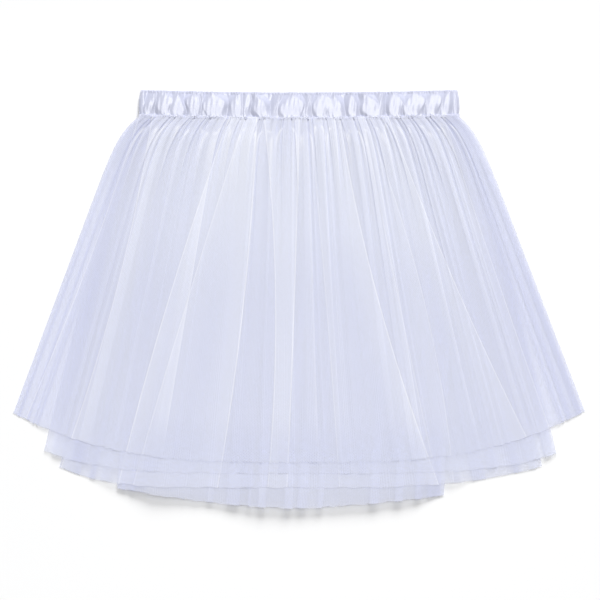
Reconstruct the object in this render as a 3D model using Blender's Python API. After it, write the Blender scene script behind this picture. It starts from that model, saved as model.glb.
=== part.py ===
"""A short ballet tutu, laid flat with its front up: four layers of gathered tulle on a
satin-covered elastic waistband. Metres, +X to the wearer's left, +Y up to the waist, +Z off
the surface it lies on. The origin is on that surface, within 1 mm of the outline's middle.

Each piece is a flattened tube, so every cross-section is one closed ring: a front run, a side
fold, a back run and the other side fold. The tulle layers lie inside one another. Layer 1 is the
outermost, the widest and the shortest, and layer 4 the innermost and the longest.
"""
import math
from collections import namedtuple

import bmesh
import bpy

# ---------------------------------------------------------------- driving sizes, in metres
WAIST_FLAT = 0.309        # the waistband's width laid flat, half of the relaxed waist
BAND_TOP_Y = 0.2019       # the waistband's top edge, at its two ends
SEAM_Y = 0.1765           # the waistband's lower edge, at its two ends
BAND_TOP_DIP = 0.0023     # how far the middle of the top edge sits lower than its ends
SEAM_DIP = 0.0029         # the same for the lower edge

WALL = 0.0010             # thickness of a tulle wall, with the crinkle of the net
GAP = 0.00035             # air between two walls that lie on each other, and at seams
STEP = WALL + GAP
SEAM_GAP = 0.0004         # between the waistband's lower edge and the tulle's top edges
LOOSE_GAP = 0.0004        # further air between two fronts, once they are clear of the seam
SIDE_REACH = 0.035        # past an inner layer's side fold, an outer layer comes down over this
PLEAT_REACH = 0.036       # pleats grow to their full height over this, from the side fold inwards
PLEAT_FILL = 0.88         # share of its room that a pleat takes up, the rest is air
FOLD_MARGIN = 0.0012      # a layer's first pleat starts this far inside its side fold
BACK_COLUMNS = 14         # points across a layer's plain back
HEM_FALL = 0.30           # past the next outer hem, a back comes down at most this steeply
SECOND_PLEAT = 0.45       # height of the small pleat that stands between two main ones

# The room that pleats take under the front of each layer, down from the seam.
Rise = namedtuple("Rise", "drop height")
PLEAT_RISE = (
    Rise(0.000, 0.0000),
    Rise(0.006, 0.0004),
    Rise(0.018, 0.0010),
    Rise(0.055, 0.0020),
    Rise(0.180, 0.0015),
    Rise(0.375, 0.0008),
)
# The sections of a layer, down from the seam. The next outer layer's hem and its own follow.
SECTION_DROPS = (0.0, 0.006, 0.018, 0.055, 0.180)
SHARED_DROP = 0.33        # below this drop a pleat runs at its share of the hem

# Where a pleat's corners stand across its width, and whether each is up. The two middle layers,
# which show at their hems alone, have plain ridges.
Corner = namedtuple("Corner", "across up")
ROUND_PLEAT = (Corner(0.14, 0.0), Corner(0.36, 1.0), Corner(0.64, 1.0), Corner(0.86, 0.0))
RIDGE_PLEAT = (Corner(0.20, 0.0), Corner(0.62, 1.0))

# One side of a layer: where its hem's corner lies, over what drop its side fold turns outwards,
# how far it bulges just under the seam and over what drop, and how round its hem runs.
Side = namedtuple("Side", "corner_x corner_y turn bulge bulge_drop hem_power")
Layer = namedtuple("Layer", "name left right hem_y pleats corners colour")
LAYERS = (
    Layer("tulle_layer_1", Side(-0.2758, -0.1088, 0.000, 0.0147, 0.0144, 3.1),
          Side(0.2758, -0.1069, 0.000, 0.0125, 0.0144, 3.1), -0.1560, None,
          ROUND_PLEAT, (0.80, 0.81, 0.92)),
    Layer("tulle_layer_2", Side(-0.2460, -0.1454, 0.000, 0.0140, 0.035, 4.5),
          Side(0.2485, -0.1478, 0.000, 0.0140, 0.035, 4.5), -0.1665, 17,
          RIDGE_PLEAT, (0.77, 0.78, 0.90)),
    Layer("tulle_layer_3", Side(-0.2311, -0.1608, 0.070, 0.0000, 0.035, 6.0),
          Side(0.2345, -0.1599, 0.070, 0.0000, 0.035, 3.6), -0.1801, 15,
          RIDGE_PLEAT, (0.74, 0.75, 0.88)),
    Layer("tulle_layer_4", Side(-0.1753, -0.1810, 0.090, 0.0000, 0.035, 1.7),
          Side(0.1396, -0.1883, 0.090, 0.0000, 0.035, 1.4), -0.2003, 14,
          ROUND_PLEAT, (0.71, 0.72, 0.86)),
)

# Layer 1's main front pleats, from left to right: where each runs at the waist and at the hem,
# as shares of half the layer's width there. The last column of LAYERS above is a layer's colour,
# and its count of pleats is for the layers that have even ones.
Pleat = namedtuple("Pleat", "waist hem")
MAIN_PLEATS = (
    Pleat(-0.95, -0.96), Pleat(-0.85, -0.84), Pleat(-0.74, -0.71), Pleat(-0.62, -0.60),
    Pleat(-0.50, -0.50), Pleat(-0.40, -0.38), Pleat(-0.29, -0.27), Pleat(-0.17, -0.15),
    Pleat(-0.07, -0.06), Pleat(0.02, 0.03), Pleat(0.11, 0.12), Pleat(0.20, 0.20),
    Pleat(0.30, 0.30), Pleat(0.39, 0.39), Pleat(0.48, 0.49), Pleat(0.57, 0.58),
    Pleat(0.66, 0.67), Pleat(0.75, 0.76), Pleat(0.85, 0.86), Pleat(0.95, 0.96),
)
# The waistband's run is elastic between two faces of satin. Sections of it, down from the top
# edge: share of the band's height, thickness of one run, how far the front's puffs stand up, and
# how far each end is drawn in.
RUN = 4 * STEP - GAP      # thickness of one run at the seam, the same as four tulle walls
Cover = namedtuple("Cover", "down thick puff inset")
COVERS = (
    Cover(0.00, 0.0026, 0.0002, 0.0022),
    Cover(0.09, 0.0032, 0.0008, 0.0014),
    Cover(0.14, 0.0030, 0.0002, 0.0012),
    Cover(0.34, 0.0044, 0.0016, 0.0003),
    Cover(0.66, 0.0046, 0.0016, 0.0000),
    Cover(0.90, 0.0046, 0.0005, 0.0006),
    Cover(1.00, RUN, 0.0002, 0.0004),
)
# The satin's puffs across the front, from left to right: width as a share of the band's whole
# width, and how far its ridge leans to the right at the top, as a share of its own width.
Puff = namedtuple("Puff", "width lean")
PUFFS = (
    Puff(0.025, 0.0), Puff(0.037, 0.5), Puff(0.044, -0.4), Puff(0.034, 0.2), Puff(0.034, -0.3),
    Puff(0.044, 0.3), Puff(0.062, -0.2), Puff(0.028, 0.3), Puff(0.047, 0.6), Puff(0.044, -0.7),
    Puff(0.041, -0.2), Puff(0.069, 0.1), Puff(0.037, 0.2), Puff(0.075, -0.3), Puff(0.034, 0.2),
    Puff(0.031, -0.2), Puff(0.066, 0.4), Puff(0.031, 0.3), Puff(0.037, -0.2), Puff(0.056, 0.3),
    Puff(0.028, 0.2), Puff(0.037, -0.3), Puff(0.031, 0.2), Puff(0.028, 0.0),
)
PUFF_CORNERS = (Corner(0.04, 0.0), Corner(0.28, 1.0), Corner(0.72, 1.0))
PUFF_LEAN = 0.8           # how much of its lean a puff shows, at most, across the band
BAND_BACK_COLUMNS = 10
FOLD_ROUND = 0.0016       # how far the waistband's folded ends are rounded off
FOLD_LENGTH = 0.0030      # the rounding of its ends reaches this far in
SLIT_END = 0.0048         # the slit between the two runs stops this far from the ends
SLIT_ROUND = 0.0002
SATIN_COLOUR = (0.88, 0.88, 0.95)


# ---------------------------------------------------------------- small helpers
def smooth(share):
    """0 to 1 with level ends."""
    share = min(max(share, 0.0), 1.0)
    return share * share * (3.0 - 2.0 * share)


def mix(low, high, share):
    return low + (high - low) * share


def read_rise(drop):
    """The room for pleats at a drop below the seam, read from PLEAT_RISE."""
    for upper, lower in zip(PLEAT_RISE, PLEAT_RISE[1:]):
        if drop <= lower.drop:
            return mix(upper.height, lower.height, (drop - upper.drop) / (lower.drop - upper.drop))
    return PLEAT_RISE[-1].height


def seam_y(share):
    """The seam line's y at a share of half the waistband's width."""
    return SEAM_Y - SEAM_GAP - SEAM_DIP * (1.0 - share * share)


# ---------------------------------------------------------------- the outline of a layer
def edge_x(index, side, drop):
    """How far from the middle a layer's side fold lies, at a drop below the seam."""
    def turned(at):
        return at - side.turn * (1.0 - math.exp(-at / side.turn)) if side.turn else at

    top = WAIST_FLAT / 2 - index * STEP
    slope = (abs(side.corner_x) - top - side.bulge) / turned(SEAM_Y - side.corner_y)
    return top + slope * turned(drop) + side.bulge * (1.0 - math.exp(-drop / side.bulge_drop))


def hem_y(layer, x):
    side = layer.left if x < 0 else layer.right
    return mix(layer.hem_y, side.corner_y, min(abs(x / side.corner_x), 1.0) ** side.hem_power)


def column_x(index, share, drop):
    """x of a line down the layer, at a share from -1, the left side fold, to 1, the right."""
    layer = LAYERS[index]
    left = -edge_x(index, layer.left, drop) + FOLD_MARGIN
    right = edge_x(index, layer.right, drop) - FOLD_MARGIN
    return mix(left, right, (share + 1.0) / 2)


def hem_drop(index, share, hem_index):
    """How far below the seam a line down the layer crosses the hem of layer hem_index."""
    drop = 0.3
    for _ in range(12):
        drop = seam_y(share) - hem_y(LAYERS[hem_index], column_x(index, share, drop))
    return drop


# ---------------------------------------------------------------- how the layers lie on each other
def back_level(index, x, share, drop):
    """Height of the underside of a layer's back. Past the next outer hem it comes down."""
    if index == 0:
        return 0.0
    outer = seam_y(share) - hem_y(LAYERS[index - 1], x)
    own = seam_y(share) - hem_y(LAYERS[index], x)
    past = min(max(drop - outer, 0.0), max(own - outer, 0.0))
    fall = min(HEM_FALL, index * STEP / max(own - outer, GAP))
    return index * STEP - fall * past


def inside(index, x, drop):
    """How far inside a layer's side fold a point lies. It is negative outside."""
    side = LAYERS[index].left if x < 0 else LAYERS[index].right
    return edge_x(index, side, drop) - abs(x)


def pleat_room(index, x, drop):
    return read_rise(drop) * smooth(inside(index, x, drop) / PLEAT_REACH)


def front_level(index, x, share, drop):
    """Height of the underside of a layer's front between two pleats, clear of what lies inside."""
    level = back_level(index, x, share, drop) + STEP
    inner = index + 1
    if inner == len(LAYERS):
        return level
    covered = smooth(1.0 + (inside(inner, x, drop) + GAP) / SIDE_REACH)
    loose = LOOSE_GAP * min(drop / SECTION_DROPS[2], 1.0)
    over = front_level(inner, x, share, drop) + pleat_room(inner, x, drop) + STEP + loose
    return mix(level, over, covered)


# ---------------------------------------------------------------- pleats
def main_pleats():
    """(waist share, hem share, height) of layer 1's pleats, a small one between two main ones."""
    pleats = []
    for this, following in zip(MAIN_PLEATS, MAIN_PLEATS[1:]):
        between = ((this.waist + following.waist) / 2, (this.hem + following.hem) / 2)
        pleats.append((*this, 1.0))
        pleats.append((*between, SECOND_PLEAT))
    return pleats + [(*MAIN_PLEATS[-1], 1.0)]


def even_pleats(count, turn):
    """(waist share, hem share, height) of an inner layer's pleats, unevenly wide and high."""
    widths = [1.0 + 0.35 * math.sin(2.3 * i + turn) for i in range(count)]
    pleats, done = [], 0.0
    for i, width in enumerate(widths):
        middle = 2.0 * (done + width / 2) / sum(widths) - 1.0
        pleats.append((middle, middle, 0.78 + 0.22 * math.sin(3.7 * i + turn)))
        done += width
    return pleats


def pleat_columns(pleats, corners):
    """(waist share, hem share, how far up) of each line down the front, from left to right."""
    columns = [(-1.0, -1.0, 0.0)]
    for i, (waist, hem, height) in enumerate(pleats):
        before = pleats[i - 1] if i else (-1.0, -1.0, 0.0)
        after = pleats[i + 1] if i + 1 < len(pleats) else (1.0, 1.0, 0.0)
        ends = []
        for at, here in enumerate((waist, hem)):
            left = (before[at] + here) / 2 if i else -1.0
            right = (after[at] + here) / 2 if i + 1 < len(pleats) else 1.0
            ends.append((left, right))
        for corner in corners:
            columns.append((mix(*ends[0], corner.across), mix(*ends[1], corner.across),
                            corner.up * height))
    return columns + [(1.0, 1.0, 0.0)]


# ---------------------------------------------------------------- a closed ring and its wall
def thickened(ring, distance):
    """The ring moved outwards by a distance, in its own upright plane, with mitred corners."""
    moved = []
    for i, (x, y, z) in enumerate(ring):
        normals = []
        for (x0, _, z0), (x1, _, z1) in ((ring[i - 1], ring[i]), (ring[i], ring[(i + 1) % len(ring)])):
            length = math.hypot(x1 - x0, z1 - z0)
            normals.append((-(z1 - z0) / length, (x1 - x0) / length))
        (ax, az), (bx, bz) = normals
        mitre = distance / max(1.0 + ax * bx + az * bz, 0.35)
        moved.append((x + (ax + bx) * mitre, y, z + (az + bz) * mitre))
    return moved


def tube_mesh(name, outer, inner):
    """A closed wall between two stacks of rings that have the same number of points."""
    bm = bmesh.new()
    faces = [[bm.verts.new(point) for point in ring] for ring in outer]
    backs = [[bm.verts.new(point) for point in ring] for ring in inner]
    around = len(outer[0])
    for skin in (faces, backs):
        for upper, lower in zip(skin, skin[1:]):
            for i in range(around):
                j = (i + 1) % around
                bm.faces.new((upper[i], lower[i], lower[j], upper[j]))
    for end in (0, -1):
        for i in range(around):
            j = (i + 1) % around
            bm.faces.new((faces[end][i], faces[end][j], backs[end][j], backs[end][i]))
    bmesh.ops.recalc_face_normals(bm, faces=bm.faces[:])
    mesh = bpy.data.meshes.new(name)
    bm.to_mesh(mesh)
    bm.free()
    mesh.shade_smooth()
    mesh.set_sharp_from_angle(angle=math.radians(50))
    return mesh


# ---------------------------------------------------------------- the tulle layers
def layer_ring(index, front_columns, drop_at):
    """The middle line of a layer's wall at one section: front, right fold, back, left fold.

    drop_at gives the section's drop for a line at a share across the layer.
    """
    layer = LAYERS[index]
    ring = []
    for waist, hem, up in front_columns:
        share = mix(waist, hem, min(drop_at(waist) / SHARED_DROP, 1.0))
        drop = drop_at(share)
        x = column_x(index, share, drop)
        rise = up * PLEAT_FILL * pleat_room(index, x, drop)
        z = front_level(index, x, share, drop) + WALL / 2 + rise
        ring.append((x, seam_y(share) - drop, z))

    for share in (1.0 - 2.0 * i / (BACK_COLUMNS - 1) for i in range(BACK_COLUMNS)):
        drop = drop_at(share)
        x = column_x(index, share, drop)
        ring.append((x, seam_y(share) - drop, back_level(index, x, share, drop) + WALL / 2))

    folds = {}
    for sign, side in ((1, layer.right), (-1, layer.left)):
        drop = drop_at(sign)
        x = sign * (edge_x(index, side, drop) - WALL / 2)
        back = back_level(index, x, sign, drop) + WALL / 2
        front = front_level(index, x, sign, drop) + WALL / 2
        rounded = min(0.4 * (front - back), WALL)
        y = seam_y(sign) - drop
        folds[sign] = [(x, y, front - rounded), (x, y, back + rounded)]
    front_run, back_run = ring[:len(front_columns)], ring[len(front_columns):]
    return front_run + folds[1] + back_run + folds[-1][::-1]


def tulle_layer(index):
    layer = LAYERS[index]
    pleats = even_pleats(layer.pleats, index) if layer.pleats else main_pleats()
    columns = pleat_columns(pleats, layer.corners)
    sections = [lambda share, drop=drop: drop for drop in SECTION_DROPS]
    for hem_index in range(max(index - 1, 0), index + 1):
        sections.append(lambda share, hem=hem_index: hem_drop(index, share, hem))
    rings = [layer_ring(index, columns, section) for section in sections]
    outer = [thickened(ring, WALL / 2) for ring in rings]
    inner = [thickened(ring, -WALL / 2) for ring in rings]
    return tube_mesh(layer.name, outer, inner)


# ---------------------------------------------------------------- the waistband
def band_y(share, down):
    """y on the waistband, at a share of its half width and a share of its height down."""
    sunk = 1.0 - share * share
    top = BAND_TOP_Y - BAND_TOP_DIP * sunk
    return mix(top, SEAM_Y - SEAM_DIP * sunk, down)


def puff_columns(down):
    """(share across from -1 to 1, how far up) of each line down the front of the waistband."""
    total = sum(puff.width for puff in PUFFS)
    slant = PUFF_LEAN * (0.5 - down) * math.sin(math.pi * down)
    columns, left = [], 0.0
    for puff in PUFFS:
        for corner in PUFF_CORNERS:
            across = corner.across + corner.up * puff.lean * slant
            columns.append((2.0 * (left + across * puff.width) / total - 1.0, corner.up))
        left += puff.width
    return columns + [(1.0, 0.0)]


def band_rings(cover):
    """The outer and the inner ring of the waistband at one section: front, fold, back, fold."""
    half = WAIST_FLAT / 2 - cover.inset
    middle = cover.thick + GAP / 2       # height of the slit between the two runs
    top = 2 * cover.thick + GAP          # the underside is flat, at z = 0
    run_half, slit_half = half - FOLD_LENGTH, half - SLIT_END
    outer, inner = [], []

    def add(x, z, slit_x, slit_z):
        y = band_y(x / half, cover.down)
        outer.append((x, y, z))
        inner.append((slit_x, y, slit_z))

    for share, up in puff_columns(cover.down):
        add(share * run_half, top + up * cover.puff, share * slit_half, middle + GAP / 2)
    back = [(1.0 - 2.0 * i / (BAND_BACK_COLUMNS - 1)) for i in range(BAND_BACK_COLUMNS)]
    for sign in (1, -1):
        rounded = sign * (half - FOLD_ROUND / 2)
        fold = [(rounded, top - FOLD_ROUND, GAP / 4), (sign * half, middle, 0.0),
                (rounded, FOLD_ROUND, -GAP / 4)]
        for x, z, lift in fold[::sign]:
            reach = SLIT_ROUND if lift else 2 * SLIT_ROUND
            add(x, z, sign * (slit_half + reach), middle + lift)
        if sign > 0:
            for share in back:
                add(share * run_half, 0.0, share * slit_half, middle - GAP / 2)
    return outer, inner


def waistband():
    rings = [band_rings(cover) for cover in COVERS]
    return tube_mesh("waistband", [outer for outer, _ in rings], [inner for _, inner in rings])


# ---------------------------------------------------------------- materials, objects, garment
def material(name, colour, roughness):
    made = bpy.data.materials.new(name)
    made.use_nodes = True
    shader = made.node_tree.nodes["Principled BSDF"]
    shader.inputs["Base Color"].default_value = (*colour, 1.0)
    shader.inputs["Roughness"].default_value = roughness
    shader.inputs["Metallic"].default_value = 0.0
    return made


def place(mesh, colour, roughness, garment, frame):
    piece = bpy.data.objects.new(mesh.name, mesh)
    mesh.materials.append(material(mesh.name, colour, roughness))
    garment.objects.link(piece)
    piece.parent = frame
    return piece


def main():
    for leftover in list(bpy.data.objects):
        bpy.data.objects.remove(leftover, do_unlink=True)
    garment = bpy.data.collections.new("ballet_tutu")
    bpy.context.scene.collection.children.link(garment)
    frame = bpy.data.objects.new("garment_frame", None)
    garment.objects.link(frame)
    place(waistband(), SATIN_COLOUR, 0.30, garment, frame)
    for index, layer in enumerate(LAYERS):
        place(tulle_layer(index), layer.colour, 0.75, garment, frame)


main()
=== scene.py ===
"""Looks of a short ballet tutu, laid flat: sheer gathered tulle on a puckered satin waistband.

Metres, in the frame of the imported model: +X to the right across the waistband, +Y up to the waist,
+Z off the floor. Each tulle layer is one open sheet, a flattened tube that is gathered in front and
pressed flat behind. The waistband's satin is one more sheet, folded over the elastic.
"""
import math
from collections import namedtuple

import bpy
import numpy as np
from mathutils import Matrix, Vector


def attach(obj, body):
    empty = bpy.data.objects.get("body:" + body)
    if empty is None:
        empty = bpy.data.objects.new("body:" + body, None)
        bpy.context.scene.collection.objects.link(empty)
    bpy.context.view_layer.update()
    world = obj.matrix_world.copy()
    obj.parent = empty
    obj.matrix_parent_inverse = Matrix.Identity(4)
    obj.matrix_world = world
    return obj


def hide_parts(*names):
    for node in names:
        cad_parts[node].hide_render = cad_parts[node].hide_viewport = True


# ---------------------------------------------------------------- sizes, the same as the solids'
WAIST_FLAT = 0.309        # the waistband's width laid flat
BAND_TOP_Y = 0.2019       # its top edge, at its two ends
SEAM_Y = 0.1765           # its lower edge, at its two ends
BAND_TOP_DIP = 0.0023     # how far the middle of the top edge sits lower than its ends
SEAM_DIP = 0.0029         # the same for the lower edge
WALL = 0.0010             # thickness of the solids' walls
GAP = 0.00035             # between the walls of neighbouring layers
STEP = WALL + GAP
SEAM_GAP = 0.0004         # between the waistband's lower edge and the layers
SIDE_REACH = 0.035        # past an inner layer's side fold, an outer layer comes down over this
PLEAT_REACH = 0.036       # folds grow to their full height over this, from the side fold inwards
FOLD_MARGIN = 0.0012      # width of the rounded side fold, where a layer's gathers end
HEM_FALL = 0.30           # the steepest that a layer's back falls past the next outer hem
SHARED_DROP = 0.33        # below this drop a fold runs at its share of the hem
ROOM = 0.0021             # most room that folds have under the front of one layer
ROOM_DROP = 0.030         # it grows over this drop
SETTLED_DROP = 0.200      # and by this one, it settles
SETTLED = 0.05            # to this share
HEM_STEP = 0.0002         # from sheet to sheet near the hems, where they lie closest

HEM_GUESS = 0.3           # a first guess of the drop to the hem
HEM_ROUNDS = 12           # how often it is bettered

# One side of a layer: where its hem's corner lies, over what drop its side fold turns outwards,
# how far it bulges just under the seam and over what drop, and how round its hem runs.
Side = namedtuple("Side", "corner_x corner_y turn bulge bulge_drop hem_power")
Layer = namedtuple("Layer", "name left right hem_y folds")
LAYERS = (
    Layer("tulle_layer_1", Side(-0.2758, -0.1088, 0.000, 0.0147, 0.0144, 3.1),
          Side(0.2758, -0.1069, 0.000, 0.0125, 0.0144, 3.1), -0.1560, None),
    Layer("tulle_layer_2", Side(-0.2460, -0.1454, 0.000, 0.0140, 0.035, 4.5),
          Side(0.2485, -0.1478, 0.000, 0.0140, 0.035, 4.5), -0.1665, 17),
    Layer("tulle_layer_3", Side(-0.2311, -0.1608, 0.070, 0.0000, 0.035, 6.0),
          Side(0.2345, -0.1599, 0.070, 0.0000, 0.035, 3.6), -0.1801, 15),
    Layer("tulle_layer_4", Side(-0.1753, -0.1810, 0.090, 0.0000, 0.035, 1.7),
          Side(0.1396, -0.1883, 0.090, 0.0000, 0.035, 1.4), -0.2003, 14),
)
# Layer 1's main folds, from left to right: where each runs at the waist and at the hem, as shares
# of half the layer's width there.
MAIN_FOLDS = (
    (-0.95, -0.96), (-0.85, -0.84), (-0.74, -0.71), (-0.62, -0.60), (-0.50, -0.50),
    (-0.40, -0.38), (-0.29, -0.27), (-0.17, -0.15), (-0.07, -0.06), (0.02, 0.03),
    (0.11, 0.12), (0.20, 0.20), (0.30, 0.30), (0.39, 0.39), (0.48, 0.49), (0.57, 0.58),
    (0.66, 0.67), (0.75, 0.76), (0.85, 0.86), (0.95, 0.96),
)
SECOND_FOLD = 0.30        # height of the small fold that stands between two main ones

# The leaf-like billows of layer 1's gathers just under the waistband, from left to right: where
# each has its middle and half its width, as shares of half the layer's width, and how many
# millimetres under the seam it starts.
Billow = namedtuple("Billow", "middle half start")
BILLOWS = (
    Billow(-0.865, 0.050, 5.0), Billow(-0.750, 0.055, 3.0), Billow(-0.600, 0.060, 7.5),
    Billow(-0.500, 0.040, 10.0), Billow(-0.430, 0.045, 5.5), Billow(-0.290, 0.055, 7.0),
    Billow(-0.190, 0.045, 9.0), Billow(-0.065, 0.060, 6.0), Billow(0.047, 0.035, 11.0),
    Billow(0.120, 0.035, 3.5), Billow(0.220, 0.060, 5.0), Billow(0.320, 0.045, 8.5),
    Billow(0.430, 0.055, 6.0), Billow(0.550, 0.055, 3.0), Billow(0.690, 0.060, 4.5),
    Billow(0.790, 0.050, 8.0), Billow(0.875, 0.045, 4.0),
)
BILLOW_HEIGHT = 0.0006
BILLOW_PAINTED_LIGHT = 0.14        # painted light: how much lighter a billow's domed middle is
BILLOW_ROUND = 0.008      # its rounded end widens over this drop
BILLOW_LENGTH = 0.030     # and it fades out over this one
BILLOW_EDGE = 0.006       # half the width of its bright edge, as a share: denser net with a painted highlight

# ---------------------------------------------------------------- how the tulle falls
# Where the points of a fold lie across each of its halves: closest at the turns of the cloth.
HALF_FOLD = np.array([0.0, 0.06, 0.095, 0.125, 0.155, 0.20, 0.25, 0.30, 0.345, 0.375, 0.405, 0.44])
FOLD_POINTS = np.concatenate([HALF_FOLD, HALF_FOLD + 0.5])
TURNS = (0.125, 0.375, 0.625, 0.875)
GATHER_ROWS = 30          # rows of points over the gathered stretch under the waistband
GATHER_DROP = 0.045       # how far down it reaches
LOWER_ROWS = 54           # rows of points from there to the hem
TUCKED_IN = 0.0025        # the tulle's top edge is caught this far up inside the waistband
BACK_FOLDS = 18           # knife folds across a layer's back
BACK_POINTS = 8           # points across each of them
SIDE_POINTS = 6           # points round a side fold
FRONT_LIFT = 0.0001       # a front sheet lies this far over its level
BACK_LIFT = 0.0002        # and a back sheet this far
FOLD_RISE = 0.6           # share of the step from sheet to sheet that a fold rises over
BACK_RISE = 0.00015       # height of its knife folds
BACK_LAPS = (0.02, 0.32)  # how far they lap, as shares of their width, from least to most
BACK_UNEVEN = 0.014       # how far they stray from even widths, as a share
SIDE_CREASED = 0.86       # past this share of the hem's half width, every fold stays creased
# Ranges that the sides of the front's folds take their numbers from: how far the cloth laps back
# over itself at the hem and at the waist, as a share of the fold's width, over what drop the lap at
# the waist fades out, and the share of its height that the fold keeps at the hem.
LAP_IF_CREASED, LAP_IF_OPEN = (0.14, 0.34), (0.00, 0.04)
LAP_OF_MAIN, LAP_OF_SECOND = (0.24, 0.34), (0.16, 0.26)
LAP_FADE = (0.020, 0.080)
HEIGHT_IF_CREASED, HEIGHT_IF_OPEN = (0.25, 0.55), (0.00, 0.14)
GATHER_FADE = 0.014       # the gathers' fine ripples fade out over this drop
HEM_WAVE = 0.0006         # how unevenly the hems hang
SEAM_PUFF = 0.0005        # how far the gathers stand up just under the waistband
SWELL = 0.0066            # height of the broad swells that all the fronts share
SWELL_REACH = 0.040       # they grow to their full height over this, from layer 4's side folds
SWELL_HALF = 0.155        # they spread with the skirt: half its width at the seam
SWELL_FLARE = 0.42        # and how much that widens for each metre down
LOFTED = 1.22             # how much higher they stand at the hems
# The waves that make up a swell: share of its height, how close they follow each other, where
# they start, and how they slant.
SWELL_WAVES = ((0.12, 7.3, 0.6, 0.0), (0.10, 12.1, 2.1, 3.0), (0.06, 21.7, 4.0, 0.0))
SWELL_MEAN = 0.72

# Of each layer, from the outermost inwards: the share that its threads cover, the share of its
# fold sides that stay creased down to the hem, how clearly its folds show below the gathers (their
# creases and their painted light and shade), and the share of its cover that it loses towards its
# hem.
THREAD_COVER = (0.46, 0.36, 0.36, 0.58)
CREASED = (0.32, 0.14, 0.12, 0.30)
FOLD_TONE = (0.60, 0.35, 0.20, 0.30)
HEM_THIN = (0.40, 0.28, 0.10, 0.0)
HEM_PLAIN = 0.050         # creases fade and the cover thins over this, towards the hems
THIN_HALF = 0.40          # it thins in full up to this share of the half width
THIN_FADE = 0.35          # and less and less over this share more
FOLDED = (0, 2)           # the layers whose fronts show the long folds
SCATTER = 0.65            # how little the net's shade depends on which way it faces

# What the material reads at each point of a tulle sheet: how creased it is, how light it is
# (with painted light and shade in that), the share of its cover that it loses, and whether it may
# show the long folds.
MARKS = ("crease", "tone", "thin", "front")
PLAIN_TONE = 0.42         # how light the plain front is
UPPER_PAINTED_LIGHT = 0.25         # painted light: how much lighter it is between the gathers and the middle
BACK_TONE = 0.5
SIDE_TONE, SIDE_CREASE = 0.1, 0.2       # at the side folds
LIT, SHADED = 0.7, 0.4    # painted light and shade: how much lighter a fold's crest is, and how much darker its foot
LEFT_PAINTED_SHADE, RIGHT_PAINTED_SHADE = 0.52, 0.38      # painted shade: how much darker a front is at its two sides, more on the left
SEAM_PAINTED_SHADE = 0.35          # painted shade: how much darker the gathers are where they leave the waistband
INNER_HEM_PAINTED_SHADE = 0.15     # painted shade: how much darker the innermost layer is at its hem
CORNER_PAINTED_LIGHT = 0.6        # painted light: how much lighter layers 2 and 3 are at their hems' corners
CREASE_WIDTH = 0.035      # how wide a crease is, as a share of its fold
rng = np.random.default_rng(11)


def smooth(share):
    """0 to 1 with level ends."""
    share = np.clip(share, 0.0, 1.0)
    return share * share * (3.0 - 2.0 * share)


def mix(low, high, share):
    """From low at 0 to high at 1."""
    return low + (high - low) * share


def peak(at, middle, width):
    """A soft bump of height 1 around the middle."""
    return np.exp(-((at - middle) / width) ** 2)


def fold_rise(t):
    """How high a fold stands at t across it: 0 at its two feet, 1 at its crest."""
    return 0.5 - 0.5 * np.cos(2 * math.pi * t)


# ---------------------------------------------------------------- outlines and levels of a layer
def seam_y(share):
    """Where the layers leave the waistband, at a share of the half width from the middle."""
    return SEAM_Y - SEAM_GAP - SEAM_DIP * (1.0 - np.clip(share * share, 0.0, 1.0))


def edge_x(index, side, drop):
    """Distance of a layer's side fold from the middle line, at a drop below the seam."""
    def turned(at):
        return at - side.turn * (1.0 - np.exp(-at / side.turn)) if side.turn else at

    drop = np.maximum(drop, 0.0)
    top = WAIST_FLAT / 2 - index * STEP
    slope = (abs(side.corner_x) - top - side.bulge) / turned(SEAM_Y - side.corner_y)
    return top + slope * turned(drop) + side.bulge * (1.0 - np.exp(-drop / side.bulge_drop))


def hem_y(layer, x):
    """Where a layer's hem runs at x: lowest in the middle, and up to a corner at each side."""
    def height(side):
        share = np.clip(np.abs(x / side.corner_x), 0.0, 1.0)
        return mix(layer.hem_y, side.corner_y, share ** side.hem_power)

    return np.where(x < 0, height(layer.left), height(layer.right))


def column_x(index, share, drop):
    """x of a place on a layer, from its share across: -1 at the left side fold, 1 at the right."""
    layer = LAYERS[index]
    left = -edge_x(index, layer.left, drop) + FOLD_MARGIN
    right = edge_x(index, layer.right, drop) - FOLD_MARGIN
    return mix(left, right, (share + 1.0) / 2)


def hem_drop(index, share):
    """Drop from the seam to the hem. It depends on x and x on it, so a guess is bettered."""
    drop = np.full_like(share, HEM_GUESS)
    for _ in range(HEM_ROUNDS):
        drop = seam_y(share) - hem_y(LAYERS[index], column_x(index, share, drop))
    return drop


def back_level(index, x, share, drop):
    """Height of the underside of a layer's back: it steps down past the next outer hem."""
    if index == 0:
        return np.zeros_like(drop)
    outer = seam_y(share) - hem_y(LAYERS[index - 1], x)
    own = seam_y(share) - hem_y(LAYERS[index], x)
    past = np.minimum(np.maximum(drop - outer, 0.0), np.maximum(own - outer, 0.0))
    fall = np.minimum(HEM_FALL, index * STEP / np.maximum(own - outer, GAP))
    return index * STEP - fall * past


def inside(index, x, drop):
    """How far x lies inside a layer's side fold."""
    layer = LAYERS[index]
    edge = np.where(x < 0, edge_x(index, layer.left, drop), edge_x(index, layer.right, drop))
    return edge - np.abs(x)


def fold_room(index, x, drop):
    """Height that a layer's folds may take up under its front."""
    room = ROOM * (1.0 - np.exp(-drop / ROOM_DROP)) * mix(1.0, SETTLED, smooth(drop / SETTLED_DROP))
    return room * smooth(inside(index, x, drop) / PLEAT_REACH)


def sheet_step(drop):
    """Height from one front sheet to the next, without the folds between them."""
    return mix(STEP, HEM_STEP, smooth(drop / 0.10))


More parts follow.
